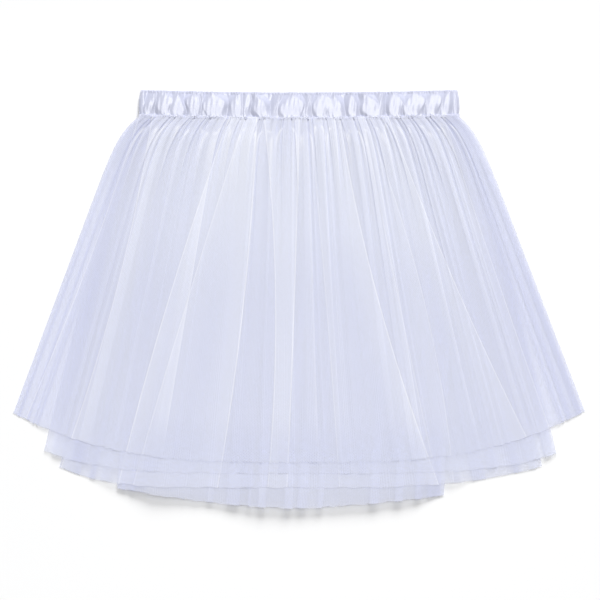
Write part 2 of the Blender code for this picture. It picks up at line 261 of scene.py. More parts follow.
def front_level(index, x, share, drop):
    """Height of the underside of a layer's front, over all that lies inside the layer."""
    step = sheet_step(drop)
    level = back_level(index, x, share, drop) + step
    inner = index + 1
    if inner == len(LAYERS):
        return level
    covered = smooth(1.0 + (inside(inner, x, drop) + GAP) / SIDE_REACH)
    over = front_level(inner, x, share, drop) + fold_room(inner, x, drop) + step
    return mix(level, over, covered)


# ---------------------------------------------------------------- the front folds
def fold_list(layer):
    """(share at the waist, share at the hem, height) of each front fold of a layer."""
    folds = []
    if layer.folds is None:
        ends = MAIN_FOLDS + ((1.05, 1.05),)
        for (waist, hem), (next_waist, next_hem) in zip(ends, ends[1:]):
            folds.append((waist, hem, 1.0))
            if next_waist < 1.0:
                at = 0.5 + 0.16 * math.sin(5.1 * len(folds))
                folds.append((mix(waist, next_waist, at), mix(hem, next_hem, at), SECOND_FOLD))
        return np.array(folds)
    turn = LAYERS.index(layer)
    widths = [1.0 + 0.55 * math.sin(2.3 * i + turn) for i in range(layer.folds)]
    done = 0.0
    for i, width in enumerate(widths):
        middle = 2.0 * (done + width / 2) / sum(widths) - 1.0
        slant = 0.035 * math.sin(4.3 * i + 2.0 * turn)
        folds.append((middle - slant, middle + slant, 0.78 + 0.22 * math.sin(3.7 * i + turn)))
        done += width
    return np.array(folds)


def fold_bounds(folds):
    """The lines between the folds, as shares at the waist and at the hem."""
    size = folds[:, 2:]
    between = mix(folds[:-1, :2], folds[1:, :2], size[:-1] / (size[:-1] + size[1:]))
    return np.vstack([[-1.0, -1.0], between, [1.0, 1.0]])


def row_drops():
    """Drops of the rows, as (metres near the seam, share of the way to the hem below that)."""
    near = np.linspace(0.0, 1.0, GATHER_ROWS, endpoint=False) ** 1.2 * (GATHER_DROP + TUCKED_IN)
    return near - TUCKED_IN, np.linspace(0.0, 1.0, LOWER_ROWS)


def drops_to(hem):
    """One row of drops per row of points, over columns that end at these hems."""
    near, lower = row_drops()
    return np.vstack([np.repeat(near[:, None], hem.size, axis=1),
                      GATHER_DROP + lower[:, None] * (hem - GATHER_DROP)[None, :]])


def swell(x, y):
    """Broad soft waves that all the fronts share, none at the sides, where the cloth lies flat."""
    down = np.maximum(SEAM_Y - y, 0.0)
    way = x / (SWELL_HALF + SWELL_FLARE * down)
    wave = SWELL_MEAN
    for height, rate, start, slant in SWELL_WAVES:
        wave = wave + height * np.sin(rate * way + start - slant * y)
    lofted = mix(1.0, LOFTED, smooth((down - 0.12) / 0.20))
    innermost = inside(len(LAYERS) - 1, x, down)
    return SWELL * wave * lofted * smooth(innermost / SWELL_REACH) * smooth(down / 0.16)


def hem_thin(index, share, above_hem):
    """Share of its cover that a layer loses this far above its hem, most in its middle."""
    central = 1.0 - smooth((np.abs(share) - THIN_HALF) / THIN_FADE)
    return HEM_THIN[index] * smooth(1.0 - above_hem / HEM_PLAIN) * central


def billows(share, down):
    """How high layer 1 billows, and how bright a billow's edge is (denser net with a painted
    highlight), both from 0 to 1.
    """
    height, bright = np.zeros_like(down), np.zeros_like(down)
    for billow in BILLOWS:
        under = np.maximum(down - 0.001 * billow.start, 0.0)
        half = billow.half * np.sqrt(1.0 - np.exp(-under / BILLOW_ROUND)) + 1e-6
        off = np.abs(share - billow.middle)
        fade = np.exp(-(under / BILLOW_LENGTH) ** 2) * (under > 0.0)
        domed = np.sqrt(np.clip(1.0 - (off / half) ** 2, 0.0, 1.0))
        height = np.maximum(height, domed * fade * smooth(under / 0.014))
        bright = np.maximum(bright, peak(off, half, BILLOW_EDGE) * fade * smooth(under / 0.004))
    return height, bright


def front_marks(index, t, share, down, above_hem, lap, clarity, ripple):
    """How creased a layer's front is at each point, and how light, with painted light and shade."""
    upper = peak(t, TURNS[1], CREASE_WIDTH) + peak(t, TURNS[2], CREASE_WIDTH)
    lower = peak(t, TURNS[0], CREASE_WIDTH) + peak(t, TURNS[3], CREASE_WIDTH)
    crease = (upper + 0.5 * lower) * np.clip((lap - 0.08) / 0.10, 0.0, 1.0)
    strength = mix(FOLD_TONE[index] * clarity, 0.7 * clarity + 0.2, np.exp(-down / 0.03))
    to_hem = smooth(above_hem / HEM_PLAIN)
    innermost = index + 1 == len(LAYERS)
    if not innermost:
        strength = strength * mix(0.15, 1.0, to_hem)

    lapped = smooth((lap - 0.03) / 0.12)
    rise = fold_rise(t)
    at_side = smooth((np.abs(share) - 0.78) / 0.14)
    # painted light on the upper part of the front
    tone = PLAIN_TONE + UPPER_PAINTED_LIGHT * smooth(down / 0.05) * (1.0 - smooth((down - 0.06) / 0.14))
    # painted light on the folds' crests and painted shade at their feet
    tone = tone + lapped * (rise - 0.5) * strength * np.where(rise > 0.5, LIT, SHADED)
    # painted shade at the sides, more on the left
    tone = tone - at_side * np.where(share > 0.0, RIGHT_PAINTED_SHADE, LEFT_PAINTED_SHADE)
    # painted shade in the gathers just under the waistband
    tone = tone - SEAM_PAINTED_SHADE * np.exp(-down / 0.007) * (0.5 + 0.5 * ripple)
    if innermost:
        # painted shade at the innermost layer's hem
        tone = tone - INNER_HEM_PAINTED_SHADE * (1.0 - to_hem)
    elif index > 0:
        at_corner = smooth((np.abs(share) - 0.86) / 0.08)
        # painted light at the hems' corners of layers 2 and 3
        tone = tone + CORNER_PAINTED_LIGHT * at_corner * (1.0 - to_hem)
    return crease * strength, tone


def front_run(index):
    """A layer's gathered front, from left to right: grids of x, y, z and of the MARKS."""
    folds = fold_list(LAYERS[index])
    bounds = fold_bounds(folds)
    count = len(folds)
    t = np.tile(FOLD_POINTS, count)
    which = np.repeat(np.arange(count), len(FOLD_POINTS))

    def per_side(low, high):
        """A number for each column that differs from fold to fold and from side to side."""
        left, right = rng.uniform(low, high, (2, count))
        return np.where(t < 0.5, left[which], right[which])

    main = folds[which, 2] > 0.5
    creased = (per_side(0.0, 1.0) < CREASED[index]) | (np.abs(folds[which, 1]) > SIDE_CREASED)
    lap_at_hem = np.where(creased, per_side(*LAP_IF_CREASED), per_side(*LAP_IF_OPEN))
    lap_at_top = np.where(main, per_side(*LAP_OF_MAIN), per_side(*LAP_OF_SECOND))
    fade = per_side(*LAP_FADE)
    height_at_hem = np.where(creased, per_side(*HEIGHT_IF_CREASED), per_side(*HEIGHT_IF_OPEN))
    turn = rng.uniform(0.0, 2.0 * math.pi, (4, count))[:, which]
    clarity = per_side(0.0, 1.0) ** 2 * np.where(main, 1.0, 0.35)

    at_hem = t + lap_at_hem * np.sin(4 * math.pi * t)
    share_at_hem = mix(bounds[which, 1], bounds[which + 1, 1], at_hem)
    hem = hem_drop(index, np.clip(share_at_hem, -1.0, 1.0))
    hem = hem + HEM_WAVE * np.sin(2 * math.pi * t + turn[3])
    drop = drops_to(hem)
    down = np.maximum(drop, 0.0)

    along = np.minimum(down / SHARED_DROP, 1.0)
    sway = 0.05 * np.sin(9.0 * down + turn[2]) * np.minimum(down / 0.05, 1.0)
    lap = mix(lap_at_hem, lap_at_top, np.exp(-down / fade))
    gathered = np.exp(-down / GATHER_FADE)
    across = t + lap * np.sin(4 * math.pi * t) + sway * np.sin(2 * math.pi * t) ** 2
    across = across + 0.04 * gathered * np.sin(6 * math.pi * t + turn[1])
    left = mix(bounds[which, 0], bounds[which, 1], along)
    right = mix(bounds[which + 1, 0], bounds[which + 1, 1], along)
    share = np.clip(mix(left, right, across), -1.0, 1.0)

    rise = fold_rise(t)
    ripple = np.sin(6 * math.pi * t + turn[0])
    height = folds[which, 2] * mix(height_at_hem, 1.0, np.exp(-down / 0.08))
    profile = np.clip(0.06 + rise * height * 0.90 + 0.20 * ripple * gathered, 0.0, 1.0)
    x = column_x(index, share, down)
    y = seam_y(share) - drop
    lift = FRONT_LIFT + FOLD_RISE * sheet_step(down) * rise + fold_room(index, x, down) * profile
    puffed = SEAM_PUFF * smooth(drop / 0.0015) * np.exp(-down / 0.012)
    z = front_level(index, x, share, down) + lift + swell(x, y) + puffed
    crease, tone = front_marks(index, t, share, down, hem - down, lap, clarity, ripple)
    if index == 0:
        billow, bright = billows(share, down)
        z = z + BILLOW_HEIGHT * billow
        # painted light on each billow's domed middle
        tone = tone + BILLOW_PAINTED_LIGHT * billow
        # the billows' bright edges: denser net with a painted highlight
        crease = np.maximum(crease, bright)
    front = np.full_like(z, 1.0 if index in FOLDED else 0.0)
    return x, y, z, crease, tone, hem_thin(index, share, hem - down), front


def back_run(index):
    """The same grids for its back, pressed flat in knife folds, from right to left."""
    t = np.tile(np.arange(BACK_POINTS) / BACK_POINTS, BACK_FOLDS)
    which = np.repeat(np.arange(BACK_FOLDS), BACK_POINTS)
    cuts = np.linspace(1.0, -1.0, BACK_FOLDS + 1)
    cuts[1:-1] += rng.uniform(-BACK_UNEVEN, BACK_UNEVEN, BACK_FOLDS - 1)
    lap = rng.uniform(*BACK_LAPS, BACK_FOLDS)[which]
    across = t + lap * np.sin(4 * math.pi * t) * (t < 0.5)
    share = mix(cuts[which], cuts[which + 1], across)
    drop = drops_to(hem_drop(index, share))
    down = np.maximum(drop, 0.0)
    share = np.broadcast_to(share, drop.shape)
    x = column_x(index, share, down)
    z = back_level(index, x, share, down) + BACK_LIFT + BACK_RISE * fold_rise(t)
    crease = (peak(t, TURNS[1], 0.05) + peak(t, TURNS[0], 0.05)) * np.clip((lap - 0.08) / 0.1, 0, 1)
    crease = np.broadcast_to(0.5 * crease, drop.shape)
    return (x, seam_y(share) - drop, z, crease, np.full_like(z, BACK_TONE),
            hem_thin(index, share, drop[-1] - down), np.zeros_like(z))


def side_run(index, sign):
    """The same for a side fold: front to back on the right (+1), back to front on the left (-1)."""
    layer = LAYERS[index]
    side = layer.right if sign > 0 else layer.left
    share = np.array([float(sign)])
    drop = drops_to(hem_drop(index, share))
    down = np.maximum(drop, 0.0)
    edge = edge_x(index, side, down) - FOLD_MARGIN
    low = back_level(index, sign * edge, share, down) + BACK_LIFT
    high = front_level(index, sign * edge, share, down) + FRONT_LIFT
    turns = np.radians(np.linspace(90.0, -90.0, SIDE_POINTS + 2)[1:-1])[::sign]
    x = sign * (edge + FOLD_MARGIN * np.cos(turns))
    z = (low + high) / 2 + (high - low) / 2 * np.sin(turns)
    y = np.broadcast_to(seam_y(share) - drop, x.shape)
    return (x, y, z, np.full_like(x, SIDE_CREASE), np.full_like(x, SIDE_TONE),
            np.zeros_like(x), np.zeros_like(x))


# ---------------------------------------------------------------- meshes
def net_normals(points, corners):
    """Normals for each face's corners that lean towards the upright, as net scatters the light."""
    across = np.roll(points, -1, axis=1) - np.roll(points, 1, axis=1)
    down = np.gradient(points, axis=0)
    normals = np.cross(down, across).reshape(-1, 3)
    normals /= np.linalg.norm(normals, axis=-1, keepdims=True) + 1e-12
    flat = points.reshape(-1, 3)[corners]
    facing = np.cross(flat[:, 2] - flat[:, 0], flat[:, 3] - flat[:, 1])
    facing /= np.linalg.norm(facing, axis=-1, keepdims=True) + 1e-12
    own = normals[corners]
    own = own * np.sign(np.einsum("fck,fk->fc", own, facing) + 1e-9)[..., None]
    upright = np.sign(facing[:, 2:] + 1e-9)[..., None] * np.array([0.0, 0.0, 1.0])
    leaned = mix(own, np.broadcast_to(upright, own.shape), SCATTER)
    return (leaned / np.linalg.norm(leaned, axis=-1, keepdims=True)).reshape(-1, 3)


def sheet_mesh(name, x, y, z, marks, scatters):
    """(mesh, flat size) of an open tube through a grid of points, its columns all round.

    Its UV map is in metres, and the marks are kept at its points. Net scatters the light.
    """
    rows, columns = x.shape
    points = np.stack([x, y, z], axis=-1)
    steps = np.linalg.norm(np.roll(points, -1, axis=1) - points, axis=-1).mean(axis=0)
    across = np.concatenate([[0.0], np.cumsum(steps)])
    strips = np.linalg.norm(np.diff(points, axis=0), axis=-1).mean(axis=1)
    along = np.concatenate([[0.0], np.cumsum(strips)])

    i, j = np.meshgrid(np.arange(rows - 1), np.arange(columns), indexing="ij")
    following = (j + 1) % columns
    quads = np.stack([i * columns + j, (i + 1) * columns + j,
                      (i + 1) * columns + following, i * columns + following], axis=-1)
    u = np.stack([across[j], across[j], across[j + 1], across[j + 1]], axis=-1)
    v = np.stack([along[i], along[i + 1], along[i + 1], along[i]], axis=-1)
    mesh = bpy.data.meshes.new(name)
    mesh.from_pydata(points.reshape(-1, 3).tolist(), [], quads.reshape(-1, 4).tolist())
    uv_map = mesh.uv_layers.new(name="cloth")
    uv_map.data.foreach_set("uv", np.stack([u, v], axis=-1).reshape(-1))
    for mark, values in marks.items():
        attribute = mesh.attributes.new(mark, "FLOAT", "POINT")
        attribute.data.foreach_set("value", np.ascontiguousarray(values).reshape(-1))
    mesh.shade_smooth()
    if scatters:
        mesh.normals_split_custom_set(net_normals(points, quads.reshape(-1, 4)).tolist())
    return mesh, (float(across[-1]), float(along[-1]))


def add_piece(name, mesh, material):
    """A mesh as an object in the scene, with its material."""
    piece = bpy.data.objects.new(name, mesh)
    bpy.context.scene.collection.objects.link(piece)
    mesh.materials.append(material)
    return piece


# ---------------------------------------------------------------- the waistband's satin
# The waistband lies doubled, as a front run over a back run. At a share of the way down it: how
# thick one run is, and how far its ends are drawn in.
Run = namedtuple("Run", "down thick inset")
RUNS = (
    Run(0.00, 0.0026, 0.0022), Run(0.09, 0.0032, 0.0014), Run(0.14, 0.0030, 0.0012),
    Run(0.34, 0.0044, 0.0003), Run(0.66, 0.0046, 0.0000), Run(0.90, 0.0046, 0.0006),
    Run(1.00, 4 * STEP - GAP, 0.0004),
)
# Height of the front's plain satin over the floor, down the band: the header, the line of
# stitches under it, the elastic's channel, the lower line of stitches and the lower edge.
FRONT_DOWNS = (0.00, 0.08, 0.100, 0.150, 0.50, 0.86, 0.925, 0.955, 1.00)
FRONT_HEIGHTS = (0.0086, 0.0090, 0.0089, 0.0090, 0.0092, 0.0093, 0.0094, 0.0096, 0.0099)
# The puffs across the front, from left to right, in millimetres: where each has its middle, half
# the width of its flat crest, how far its upper end lies to the right of its lower one, how far it
# bows to the right in its upper half and to the left in its lower one, the share by which it is
# wider at its upper end than halfway down, its height, and how steeply it falls off on its left
# and on its right.
Puff = namedtuple("Puff", "middle half lean bow taper height left right")
PUFFS = (
    Puff(-152.0, 0.8, 0.0, 0.0, 0.0, 0.9, 0.5, 0.5),
    Puff(-143.0, 2.6, 8.0, 0.3, 0.0, 1.5, 0.6, 0.5),
    Puff(-129.5, 5.4, -2.0, 1.6, 0.6, 1.7, 0.4, 0.3),
    Puff(-117.0, 4.6, 1.0, -0.6, -0.5, 1.6, 0.3, 0.6),
    Puff(-101.5, 5.4, 1.5, -0.8, 0.3, 1.7, 0.7, 0.4),
    Puff(-92.5, 0.8, -2.5, 0.0, 0.0, 1.2, 0.4, 0.6),
    Puff(-82.0, 9.0, -1.5, 0.8, 0.1, 1.8, 0.42, 0.4),
    Puff(-60.5, 4.2, 2.0, -0.8, -0.2, 1.6, 0.6, 0.3),
    Puff(-51.0, 2.6, 3.5, 0.5, 0.6, 1.2, 0.3, 0.5),
    Puff(-37.5, 4.4, -9.5, 1.6, -0.3, 1.8, 0.4, 0.5),
    Puff(-22.0, 1.0, 5.0, 0.0, 0.0, 0.9, 0.4, 0.4),
    Puff(-6.5, 9.8, 1.5, 0.6, -0.1, 1.8, 0.42, 0.4),
    Puff(8.5, 1.6, 3.5, 0.4, -0.4, 1.4, 0.3, 0.5),
    Puff(22.0, 7.2, 2.0, 0.8, 0.5, 1.7, 0.5, 0.3),
    Puff(35.0, 5.0, -3.0, 0.6, -0.5, 1.6, 0.3, 0.6),
    Puff(51.0, 3.6, -1.5, 0.3, 0.0, 1.6, 0.6, 0.6),
    Puff(68.5, 6.4, -10.0, 1.8, -0.2, 1.8, 0.4, 0.4),
    Puff(78.0, 2.2, 3.0, 0.0, -0.5, 1.4, 0.3, 0.6),
    Puff(92.5, 6.0, -1.5, 0.6, 0.2, 1.7, 0.6, 0.6),
    Puff(110.5, 8.4, 3.5, 1.0, 0.2, 1.8, 0.6, 0.3),
    Puff(129.0, 6.0, 3.0, 0.5, 0.5, 1.7, 0.4, 0.4),
    Puff(141.5, 3.4, 3.5, 0.0, 0.0, 1.5, 0.5, 0.5),
    Puff(151.5, 0.8, 0.0, 0.0, 0.0, 0.9, 0.5, 0.5),
)
PUFF_ROUND = 0.0012       # its sides start to fall off over this width
PUFF_FOOT = 0.0012        # how deep the satin is drawn in between the puffs
BAND_COLUMNS = 960        # points across the front
BAND_BACK_COLUMNS = 240   # and across the back
BAND_ROWS = 44            # rows of points down the outer face
INNER_DOWNS = (0.0, 0.03, 0.10, 0.25, 0.5, 0.8, 1.0)    # rows down the inner face
HEADER_DOWN = 0.100       # the elastic's channel starts here, below the crimped header
STITCH_DOWN = 0.925       # the channel ends here, above the line of stitches
FOLD_LENGTH = 0.0030      # width of the fold at each end of the band
INNER_FOLD = FOLD_LENGTH - 0.0022       # and of its inner face
BAND_FLOOR = 0.0004       # the back's outer face lies this far over the floor
BAND_INNER = 0.0002       # the inner faces lie this far inside the walls of the solid


def band_y(share, down):
    """y at a share of the half width and a share down the band, whose middle hangs lower."""
    sunk = 1.0 - np.clip(share * share, 0.0, 1.0)
    top = BAND_TOP_Y - BAND_TOP_DIP * sunk
    return mix(top, SEAM_Y - SEAM_DIP * sunk, down)


def band_profile(down):
    """(thickness of one run, inset of its ends, how full it is) at a share down the band."""
    downs = [run.down for run in RUNS]
    thick = np.interp(down, downs, [run.thick for run in RUNS])
    inset = np.interp(down, downs, [run.inset for run in RUNS])
    channel = smooth((down - HEADER_DOWN) / 0.10) * smooth((STITCH_DOWN - down) / 0.10)
    return thick, inset, channel


def puff_relief(x, down):
    """Height of the puckered satin over the plain band, at x across and a share down."""
    span = np.clip((down - HEADER_DOWN) / (STITCH_DOWN - HEADER_DOWN), 0.0, 1.0)
    lens = np.sin(math.pi * span)
    wide_above = 0.25 + 0.75 * lens
    wide_below = 1.0 - 0.5 * (2.0 * span - 1.0) ** 2
    wide = mix(wide_above, wide_below, smooth((span - 0.4) / 0.3))
    relief = np.full(np.broadcast(x, down).shape, -PUFF_FOOT)
    for puff in PUFFS:
        bend = puff.lean * (0.5 - span) + puff.bow * np.sin(2 * math.pi * span)
        middle = 0.001 * (puff.middle + bend)
        off = np.abs(x - middle)
        flat = 0.001 * puff.half * wide * (1.0 + puff.taper * (1.0 - 2.0 * span))
        past = np.maximum(off - flat, 0.0)
        steep = np.where(x > middle, puff.right, puff.left)
        fall = steep * (np.sqrt(past ** 2 + PUFF_ROUND ** 2) - PUFF_ROUND)
        round_top = 0.00025 * np.minimum(off / flat, 1.0) ** 2
        relief = np.maximum(relief, 0.001 * puff.height - round_top - fall)
    at = x * 1000.0
    pinched = np.exp(-span / 0.13) + np.exp(-(1.0 - span) / 0.13)
    gathers = np.sin(at * 1.15 + 1.4 * np.sin(at * 0.19) + 2.0 * lens) * np.sin(at * 0.41 + 1.0)
    slack = np.sin(at * 1.31 + 3.0 * span + 2.0 * np.sin(at * 0.13)) * lens
    to_stitches = smooth((down - 0.45) / 0.47)
    past_stitches = smooth((down - STITCH_DOWN) / 0.07)
    left_over = 1.0 - 0.45 * to_stitches - 0.35 * past_stitches
    return relief * left_over + 0.00022 * gathers * pinched + 0.00007 * slack


def edge_crimps(x, down):
    """Crimps of the narrow header above the elastic, and of the edge below the stitches."""
    at = x * 1000.0
    header = np.sin(at * 1.9 + 1.5 * np.sin(at * 0.31)) * (0.7 + 0.3 * np.sin(at * 0.17))
    lower = np.sin(at * 1.45 + 1.2 * np.sin(at * 0.23)) * (0.7 + 0.3 * np.sin(at * 0.13))
    header = 0.00035 * header * smooth((HEADER_DOWN + 0.02 - down) / 0.09)
    return header + 0.00040 * lower * smooth((down - STITCH_DOWN + 0.03) / 0.05)


def front_height(x, down, relief_share=1.0):
    """Height of the satin in front, over the floor."""
    plain = np.interp(down, FRONT_DOWNS, FRONT_HEIGHTS)
    return plain + (puff_relief(x, down) + edge_crimps(x, down)) * relief_share


def band_sheet():
    """Grids of the satin: over the outer face from the seam to the top, then down the inner."""
    outer_downs = np.linspace(1.0, 0.0, BAND_ROWS)
    downs = np.concatenate([outer_downs, INNER_DOWNS])[:, None]
    is_outer = (np.arange(len(downs)) < BAND_ROWS)[:, None]
    thick, inset, channel = band_profile(downs)
    half = WAIST_FLAT / 2 - inset
    middle = thick + GAP / 2
    flat = half - FOLD_LENGTH

    front = np.linspace(-1.0, 1.0, BAND_COLUMNS)[None, :]
    back = np.linspace(1.0, -1.0, BAND_BACK_COLUMNS)[None, :]
    front_x = front * flat
    ends = smooth((1.0 - np.abs(front)) / 0.02)
    crimps = edge_crimps(front_x, downs)
    base = np.interp(downs, FRONT_DOWNS, FRONT_HEIGHTS)
    front_z = np.where(is_outer, front_height(front_x, downs, ends),
                       middle + GAP / 2 + BAND_INNER + np.maximum(crimps, 0.0))
    back_relief = 0.0003 * np.sin(60.0 * back + 4.0 * downs) * channel
    back_z = np.where(is_outer, BAND_FLOOR + np.abs(back_relief), middle - GAP / 2 - BAND_INNER)
    back_x = back * flat

    runs = [(front_x, front_z), None, (back_x, back_z), None]
    for place, sign in ((1, 1), (3, -1)):
        turns = np.radians(np.linspace(90.0, -90.0, 12)[1:-1])[None, ::sign]
        reach = np.where(is_outer, FOLD_LENGTH, INNER_FOLD)
        above = np.where(is_outer, base - middle, GAP / 2 + BAND_INNER)
        below = np.where(is_outer, middle - BAND_FLOOR, GAP / 2 + BAND_INNER)
        x = sign * (flat + reach * np.cos(turns))
        runs[place] = (x, middle + np.where(turns > 0, above, below) * np.sin(turns))
    x = np.concatenate([np.broadcast_to(run_x, run_z.shape) for run_x, run_z in runs], axis=1)
    z = np.concatenate([run_z for _, run_z in runs], axis=1)
    y = band_y(x / half, downs)
    return x, y, z


# ---------------------------------------------------------------- stitches
STITCH_LENGTH = 0.0026
STITCH_RADIUS = 0.00026
STITCH_PITCH = 0.0037
STITCH_REACH = 0.1510     # the line of stitches runs this far to each side
STITCH_LINE = STITCH_DOWN + 0.01
STITCH_LIFT = 0.0001      # a stitch's middle lies this far over the satin
STITCH_BACK_Z = 0.0005    # height of the stitches' middles behind
STITCH_SIDES = 6
# One thread, from end to end: (place along it, as a share of its length, share of its radius).
STITCH_RINGS = (
    (-0.50, 0.15), (-0.42, 0.70), (-0.20, 1.00), (0.20, 1.00), (0.42, 0.70), (0.50, 0.15),
)


def stitch_mesh(name):
    """All the stitches that show on the waistband, as short round threads in one mesh."""
    along, radius = np.array(STITCH_RINGS).T * [[STITCH_LENGTH], [STITCH_RADIUS]]
    turns = np.arange(STITCH_SIDES) * math.pi / 3
    thread = np.stack([np.repeat(along, STITCH_SIDES), np.outer(radius, np.cos(turns)).ravel(),
                       np.outer(radius, np.sin(turns)).ravel()], axis=-1)
    i, j = np.meshgrid(np.arange(len(along) - 1), np.arange(STITCH_SIDES), indexing="ij")
    here, following = i * STITCH_SIDES, (j + 1) % STITCH_SIDES
    beyond = here + STITCH_SIDES
    sides = np.stack([here + j, here + following, beyond + following, beyond + j], axis=-1)
    sides = sides.reshape(-1, 4)
    first_end = np.arange(STITCH_SIDES)[::-1]
    last_end = len(thread) - STITCH_SIDES + np.arange(STITCH_SIDES)

    points, faces = [], []
    middles = np.arange(-STITCH_REACH, STITCH_REACH + 0.0001, STITCH_PITCH)
    in_front = front_height(middles, np.full_like(middles, STITCH_LINE)) + STITCH_LIFT
    for heights in (in_front, np.full_like(middles, STITCH_BACK_Z)):
        for number, (x, z) in enumerate(zip(middles, heights)):
            slant = 0.12 * math.sin(2.1 * number)
            scale = 1.0 + 0.3 * math.sin(3.3 * number)
            turned = thread @ np.array([[scale * math.cos(slant), scale * math.sin(slant), 0.0],
                                        [-math.sin(slant), math.cos(slant), 0.0],
                                        [0.0, 0.0, 1.0]])
            y = band_y(np.array(x / (WAIST_FLAT / 2)), STITCH_LINE)
            start = len(thread) * len(points)
            points.append(turned + np.array([x, float(y), z]))
            faces += (sides + start).tolist()
            faces += [(first_end + start).tolist(), (last_end + start).tolist()]
    mesh = bpy.data.meshes.new(name)
    mesh.from_pydata(np.concatenate(points).tolist(), [], faces)
    mesh.shade_smooth()
    return mesh


# ---------------------------------------------------------------- materials
class Nodes:
    """A material and a short way to write its nodes."""

    def __init__(self, name):
        self.material = bpy.data.materials.new(name)
        self.material.use_nodes = True
        self.tree = self.material.node_tree
        self.shader = self.tree.nodes["Principled BSDF"]

    def add(self, kind, inputs, **settings):
        node = self.tree.nodes.new(kind)
        for key, value in settings.items():
            setattr(node, key, value)
        for key, value in inputs.items():
            self.put(node.inputs[key], value)
        return node

    def put(self, socket, value):
        if isinstance(value, bpy.types.NodeSocket):
            self.tree.links.new(value, socket)
        elif socket.type == "RGBA":
            socket.default_value = (*value, 1.0)
        else:
            socket.default_value = value

    def mark(self, name):
        return self.add("ShaderNodeAttribute", {}, attribute_name=name).outputs["Fac"]

    def maths(self, operation, *values, clamp=False):
        inputs = dict(enumerate(values))
        return self.add("ShaderNodeMath", inputs, operation=operation, use_clamp=clamp).outputs[0]

    def noise(self, vector, scale, detail):
        placed = self.add("ShaderNodeMapping", {"Vector": vector, "Scale": scale})
        inputs = {"Vector": placed.outputs["Vector"], "Scale": 1.0, "Detail": detail}
        return self.add("ShaderNodeTexNoise", inputs).outputs["Fac"]

    def blend(self, share, low, high):
        inputs = {0: share, 6: low, 7: high}
        return self.add("ShaderNodeMix", inputs, data_type="RGBA").outputs[2]

    def ramp(self, value, start, end, low, high):
        inputs = {"Value": value, "From Min": start, "From Max": end, "To Min": low, "To Max": high}
        made = self.add("ShaderNodeMapRange", inputs, interpolation_type="SMOOTHSTEP")
        return made.outputs["Result"]

    def feed(self, socket, value):
        self.put(self.shader.inputs[socket], value)


NET_PITCH = 0.00125       # from hole to hole


def net_pattern(nodes, uv):
    """1 on the threads of a hexagonal net, 0 in its holes."""
    waves = []
    for turn in (0.0, 120.0, 240.0):
        angle = math.radians(turn)
        way = (math.cos(angle) / NET_PITCH, math.sin(angle) / NET_PITCH, 0.0)
        dot = nodes.add("ShaderNodeVectorMath", {0: uv, 1: way}, operation="DOT_PRODUCT")
        phase = nodes.maths("MULTIPLY", dot.outputs["Value"], 2 * math.pi)
        waves.append(nodes.maths("COSINE", phase))
    total = nodes.maths("ADD", nodes.maths("ADD", waves[0], waves[1]), waves[2])
    return nodes.ramp(total, 0.6, -0.6, 0.0, 1.0)


# The long folds over the front of layer 1, in millimetres: x of the edge at the top, in the
# middle and at the hem, which way the lap runs from it (1 is right), its width, and its strength.
LongFold = namedtuple("LongFold", "top middle hem way width strength")
LONG_FOLDS = (
    LongFold(-158.9, -216.7, -297.0, 1, 15.0, 0.6), LongFold(-143.5, -178.2, -239.8, 1, 30.0, 0.8),
    LongFold(-72.2, -125.2, -177.2, 1, 30.0, 1.0), LongFold(-56.8, -106.9, -163.0, 1, 35.0, 0.6),
    LongFold(-41.0, -53.0, -80.0, -1, 38.0, 1.0), LongFold(-31.8, -22.5, -31.0, 1, 20.0, 0.9),
    LongFold(0.0, -4.5, -12.0, -1, 20.0, 1.0), LongFold(11.6, 26.0, 39.5, 1, 25.0, 0.5),
    LongFold(41.4, 76.1, 139.3, -1, 30.0, 1.0), LongFold(64.5, 95.8, 136.4, -1, 25.0, 0.5),
    LongFold(69.3, 120.0, 150.0, -1, 30.0, 0.5), LongFold(91.5, 157.0, 248.5, -1, 35.0, 0.8),
    LongFold(144.0, 198.0, 265.0, -1, 25.0, 0.6),
)
LONG_FOLD_YS = (160.0, 0.0, -190.0)     # y of its three places, in millimetres
FOLD_EDGE = 0.0008        # half the width of the bright line along a fold's edge: denser net with a painted highlight


def long_folds(nodes):
    """(share of the full lap, share of the bright edge) at a place on the front."""
    place = nodes.add("ShaderNodeTexCoord", {}).outputs["Object"]
    place = nodes.add("ShaderNodeSeparateXYZ", {"Vector": place})
    x, y = place.outputs["X"], place.outputs["Y"]
    laps, edges = 0.0, 0.0
    for fold in LONG_FOLDS:
        curve = np.polyfit(LONG_FOLD_YS, (fold.top, fold.middle, fold.hem), 2)
        bend = nodes.maths("MULTIPLY_ADD", y, 1000.0 * float(curve[0]), float(curve[1]))
        fold_x = nodes.maths("MULTIPLY_ADD", bend, y, 0.001 * float(curve[2]))
        ends = (x, fold_x) if fold.way > 0 else (fold_x, x)
        past = nodes.maths("SUBTRACT", *ends)
        starts = nodes.ramp(past, 0.0, 0.0004, 0.0, fold.strength)
        fades = nodes.ramp(past, 0.0, 0.001 * fold.width, 1.0, 0.0)
        laps = nodes.maths("MULTIPLY_ADD", starts, fades, laps)
        edge = nodes.ramp(nodes.maths("ABSOLUTE", past), 0.0, FOLD_EDGE, fold.strength, 0.0)
        edges = nodes.maths("MAXIMUM", edge, edges)
    return laps, edges


TULLE_DARK, TULLE_LIGHT = (0.775, 0.797, 0.930), (0.920, 0.938, 1.0)
# Creases take this lighter colour: partly the denser net, partly a painted highlight.
TULLE_CREASED = (0.950, 0.957, 0.995)
# How much each of these adds to the share that the threads cover.
NET_COVER, NET_COVER_MEAN = 0.10, 0.04
SPECKLE_COVER, PATCH_COVER = 0.09, 0.08
LAP_COVER, CREASE_COVER = 0.12, 0.16
LAP_PAINTED_LIGHT = 0.16           # painted light: how much lighter a long fold is


